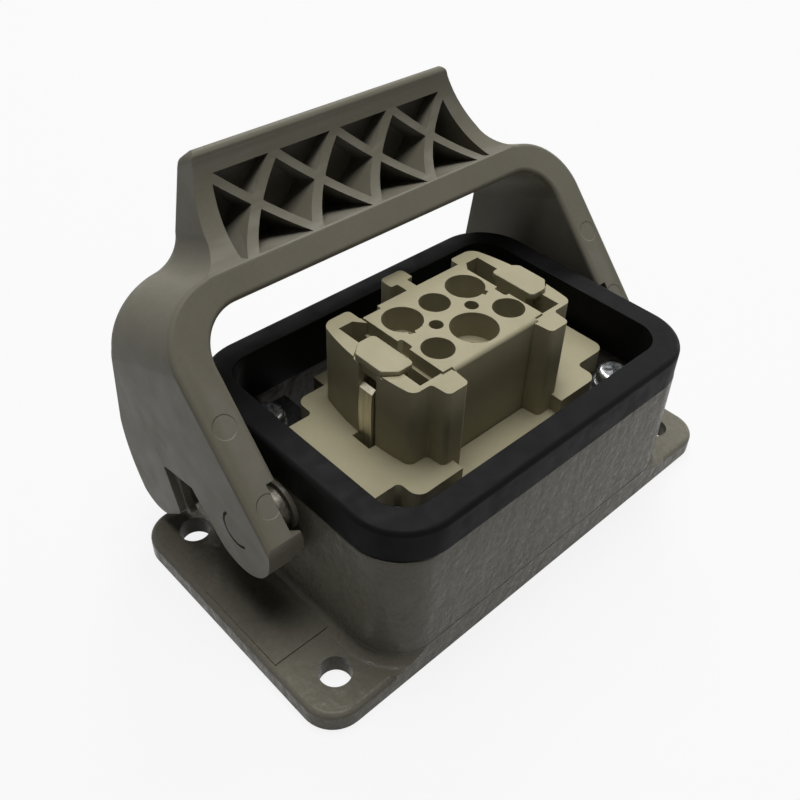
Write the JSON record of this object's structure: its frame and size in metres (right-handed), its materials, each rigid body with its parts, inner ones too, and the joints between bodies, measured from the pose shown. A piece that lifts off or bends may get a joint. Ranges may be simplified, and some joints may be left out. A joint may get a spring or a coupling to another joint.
{
  "type": "heavy duty rectangular connector",
  "caption": "Bulkhead-mounted rectangular connector: cast housing with rim gasket, moulded contact insert and one swinging locking lever with a ribbed grip.",
  "frame": {"origin": "centre of the four panel holes, on the mounting face of the flange", "axes": "+Z out of the panel towards the plug side, +X along the long side, +Y towards the side that the open lever leans over"},
  "size_m": [0.082, 0.0509, 0.0552],
  "materials": {
    "housing_coat": "grey powder coat with a fine hammered grain, satin sheen",
    "lever_plastic": "warm grey, lightly grained, satin",
    "seal_rubber": "black moulded rubber, satin",
    "panel_rubber": "black flat seal",
    "insert_plastic": "beige glass-filled plastic, smooth and dull",
    "strip_metal": "plated spring strip, bright",
    "dark_steel": "blackened steel sheet",
    "pin_steel": "turned steel, dull",
    "zinc_steel": "bright zinc plating",
    "contact_silver": "silver-plated copper alloy"
  },
  "bodies": {
    "base": {"housing": "housing_coat", "rim_gasket": "seal_rubber", "panel_seal": "panel_rubber", "insert_body": "insert_plastic", "contact_carrier": "insert_plastic", "contact_retainer": "insert_plastic", "main_contact_1": "contact_silver", "main_contact_2": "contact_silver", "main_contact_3": "contact_silver", "main_contact_4": "contact_silver", "main_contact_5": "contact_silver", "main_contact_6": "contact_silver", "signal_contact_1": "contact_silver", "signal_contact_2": "contact_silver", "pivot_pin_left": "pin_steel", "pivot_pin_right": "pin_steel", "earth_strip_left": "strip_metal", "earth_strip_right": "strip_metal", "earth_clip_left": "insert_plastic", "earth_clip_right": "insert_plastic", "earth_plate_left": "dark_steel", "earth_plate_right": "dark_steel", "insert_screws": "zinc_steel", "insert_washers": "zinc_steel", "earth_screws": "zinc_steel", "earth_clamps": "zinc_steel"},
    "lever": {"locking_lever": "lever_plastic"}
  },
  "joints": [
    {"name": "lever_hinge", "type": "hinge", "parent": "base", "child": "lever", "pos_m": [0, 0, 0.0187], "axis": [1, 0, 0], "range_deg": [0, 145]}
  ]
}
